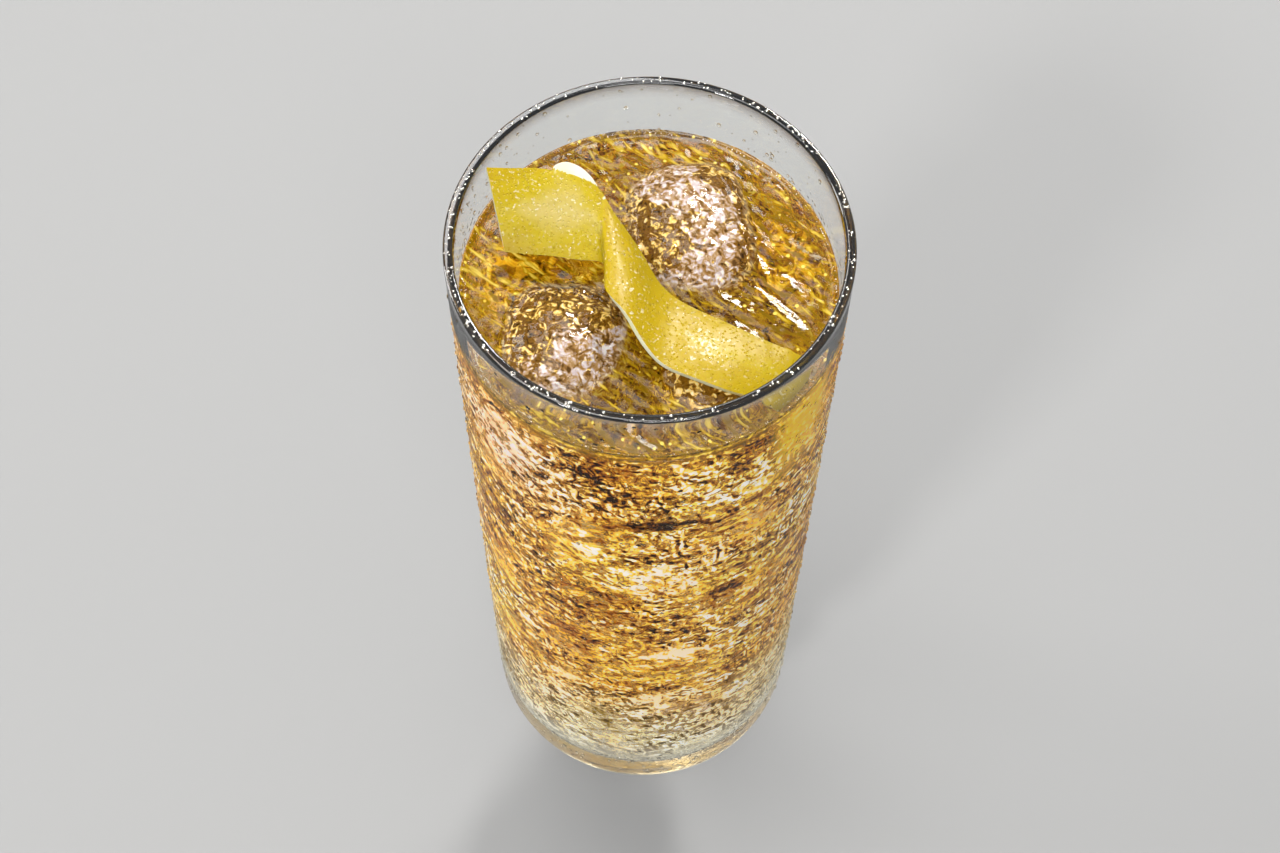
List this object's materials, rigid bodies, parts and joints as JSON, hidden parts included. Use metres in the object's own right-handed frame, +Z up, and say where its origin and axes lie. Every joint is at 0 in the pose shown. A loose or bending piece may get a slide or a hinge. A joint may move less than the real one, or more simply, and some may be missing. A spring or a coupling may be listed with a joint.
{
  "type": "whisky highball",
  "caption": "Slim straight highball glass filled with a clear golden sparkling drink, with clear ice breaking its surface and a curled strip of lemon peel.",
  "frame": {"origin": "centre of the glass's foot, on the surface it stands on", "axes": "+Z up along the glass's axis; the picture looks along +Y and down, with +X to its right"},
  "size_m": [0.064, 0.064, 0.16],
  "materials": {
    "clear_glass": "clear polished glass, misted with fine drops of condensation outside",
    "golden_drink": "clear golden sparkling liquid with fine bubbles",
    "clear_ice": "melting clear ice with frosty patches inside",
    "lemon_zest": "waxy lemon skin with fine oil pores, pale pith on the back and at the cut edges"
  },
  "bodies": {
    "root": {"glass": "clear_glass", "drink": "golden_drink", "ice_back": "clear_ice", "ice_front": "clear_ice", "ice_side": "clear_ice", "lemon_peel": "lemon_zest"}
  },
  "joints": []
}
